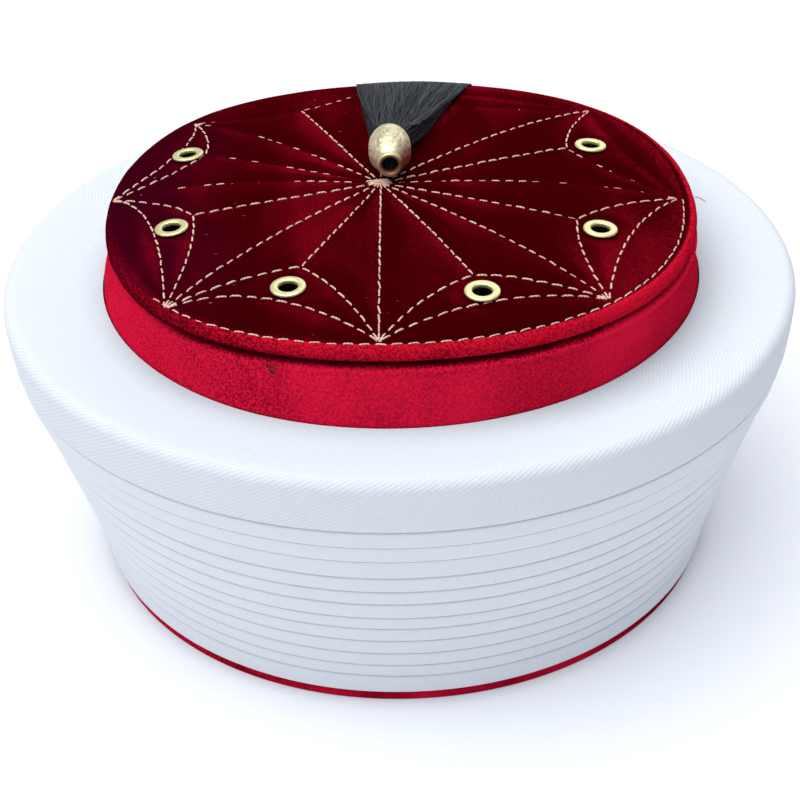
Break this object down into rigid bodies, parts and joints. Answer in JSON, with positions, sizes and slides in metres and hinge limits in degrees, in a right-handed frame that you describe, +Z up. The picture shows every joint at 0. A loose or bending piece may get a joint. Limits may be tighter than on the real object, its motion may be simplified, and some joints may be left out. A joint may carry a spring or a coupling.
{
  "type": "fez hat with wound turban cloth",
  "caption": "Velvet fez with a stitched top, brass eyelets, a black tassel in a gilt bead and a white wound turban cloth that flares upwards, open below for a head.",
  "frame": {"origin": "centre of the base rim, on the plane that the hat stands on", "axes": "+Z up along the crown, -Y to the front, +Y to the back where the tassel lies, +X to the right as seen from the front"},
  "size_m": [0.2302, 0.2302, 0.1258],
  "materials": {
    "velvet": "crimson velvet pile",
    "velvet_top": "dark red velvet pile, quilted",
    "turban_cloth": "white cotton twill",
    "brass": "polished",
    "gilt": "gilt, cast relief",
    "tassel_thread": "black rayon thread"
  },
  "bodies": {
    "root": {"crown_wall": "velvet", "crown_top": "velvet_top", "turban_wrap": "turban_cloth", "turban_cover": "turban_cloth", "eyelet_1": "brass", "eyelet_2": "brass", "eyelet_3": "brass", "eyelet_4": "brass", "eyelet_5": "brass", "eyelet_6": "brass", "tassel_bead": "gilt", "tassel_skirt": "tassel_thread"}
  },
  "joints": []
}
